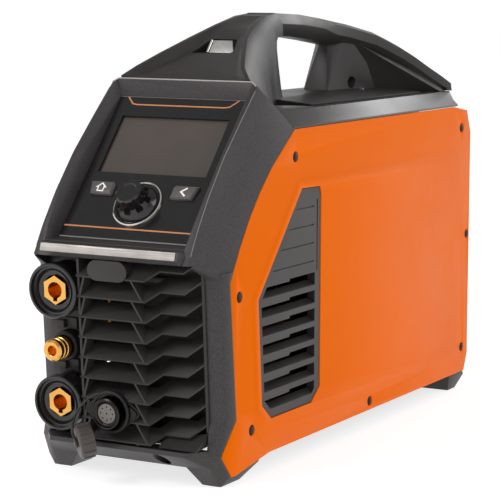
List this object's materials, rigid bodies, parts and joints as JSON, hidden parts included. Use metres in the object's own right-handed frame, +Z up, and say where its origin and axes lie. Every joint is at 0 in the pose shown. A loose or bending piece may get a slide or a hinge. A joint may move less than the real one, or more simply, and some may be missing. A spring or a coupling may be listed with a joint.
{
  "type": "tig welding machine",
  "caption": "Portable TIG welding power source: sloped control panel with screen, knob and keys, louvred front with cable sockets and gas outlet, orange vented sides, moulded carrying handle.",
  "frame": {"origin": "on the floor under the middle of the machine's own box", "axes": "+Z up, the front with the control panel faces -Y, +X is the machine's right when seen from its front"},
  "size_m": [0.177, 0.543, 0.365],
  "materials": {
    "charcoal_abs": "fine grained, charcoal",
    "fascia_gloss": "smooth black with printed lines",
    "screen": "dark glass over the display",
    "brushed_aluminium": "brushed along its length",
    "grey_abs": "fine grained, mid grey",
    "zinc_steel": "blackened",
    "chrome_ring": "bright",
    "socket_nylon": "satin black",
    "brass_contact": "turned and bright",
    "black_rubber": "matt",
    "black_anodised": "black, satin",
    "insert_plastic": "grey",
    "cap_plastic": "warm grey",
    "orange_powder_coat": "semi-gloss powder coat",
    "black_steel": "black powder coat",
    "circuit_board": "green solder mask",
    "bare_aluminium": "as extruded",
    "ferrite": "matt",
    "copper_wire": "enamelled copper",
    "capacitor_sleeve": "dark blue sleeve"
  },
  "bodies": {
    "case": {"front_bezel": "charcoal_abs", "front_grille": "charcoal_abs", "control_fascia": "fascia_gloss", "lcd_module": "screen", "trim_bar": "brushed_aluminium", "blank_cover": "grey_abs", "knob_ring": "chrome_ring", "socket_flange_positive": "socket_nylon", "socket_flange_negative": "socket_nylon", "socket_contact_positive": "brass_contact", "socket_contact_negative": "brass_contact", "gas_outlet": "brass_contact", "gas_outlet_collar": "black_rubber", "remote_gasket": "black_rubber", "remote_shell": "black_anodised", "remote_insert": "insert_plastic", "cap_tether": "black_rubber", "top_cover": "charcoal_abs", "handle": "charcoal_abs", "side_panel_left": "orange_powder_coat", "side_panel_right": "orange_powder_coat", "vent_left": "charcoal_abs", "vent_right": "charcoal_abs", "rear_bezel": "charcoal_abs", "base_tray": "black_steel", "display_board": "circuit_board", "power_board": "circuit_board", "heatsink": "bare_aluminium", "transformer_core": "ferrite", "transformer_winding": "copper_wire", "output_choke": "copper_wire", "arc_start_coil": "ferrite", "bulk_capacitor": "capacitor_sleeve", "fan_frame": "socket_nylon", "gas_valve": "brass_contact", "gas_hose": "black_rubber", "gas_inlet": "brass_contact", "power_switch": "socket_nylon", "cable_gland": "socket_nylon", "screw_right_1": "zinc_steel", "screw_right_2": "zinc_steel", "screw_right_3": "zinc_steel", "screw_right_4": "zinc_steel", "screw_right_5": "zinc_steel", "screw_right_6": "zinc_steel", "screw_right_7": "zinc_steel", "screw_left_1": "zinc_steel", "screw_left_2": "zinc_steel", "screw_left_3": "zinc_steel", "screw_left_4": "zinc_steel", "screw_left_5": "zinc_steel", "screw_left_6": "zinc_steel", "screw_left_7": "zinc_steel"},
    "home_key": {"home_button": "grey_abs"},
    "back_key": {"back_button": "grey_abs"},
    "encoder_plunger": {"encoder_shaft": "zinc_steel"},
    "knob": {"encoder_knob": "grey_abs"},
    "cap": {"dust_cap": "cap_plastic"},
    "fan": {"fan_rotor": "socket_nylon"},
    "rocker": {"power_rocker": "socket_nylon"}
  },
  "joints": [
    {"name": "home_press", "type": "slide", "parent": "case", "child": "home_key", "axis": [0, 0.7524, -0.6587], "range_m": [0, 0.0012], "stiffness_N_per_m": 800},
    {"name": "back_press", "type": "slide", "parent": "case", "child": "back_key", "axis": [0, 0.7524, -0.6587], "range_m": [0, 0.0012], "stiffness_N_per_m": 800},
    {"name": "encoder_press", "type": "slide", "parent": "case", "child": "encoder_plunger", "axis": [0, 0.7524, -0.6587], "range_m": [0, 0.0008], "stiffness_N_per_m": 1500},
    {"name": "knob_turn", "type": "hinge", "parent": "encoder_plunger", "child": "knob", "pos_m": [0, -0.20499, 0.21734], "axis": [0, -0.7524, 0.6587], "continuous": true},
    {"name": "cap_turn", "type": "hinge", "parent": "case", "child": "cap", "pos_m": [-0.0164, -0.25837, 0.03607], "axis": [-0.6754, -0.7137, -0.1856], "continuous": true},
    {"name": "fan_spin", "type": "hinge", "parent": "case", "child": "fan", "pos_m": [0, 0.22946, 0.15], "axis": [0, 1, 0], "continuous": true},
    {"name": "power_rock", "type": "hinge", "parent": "case", "child": "rocker", "pos_m": [0.05, 0.24946, 0.24], "axis": [1, 0, 0], "range_deg": [0, 24]}
  ]
}
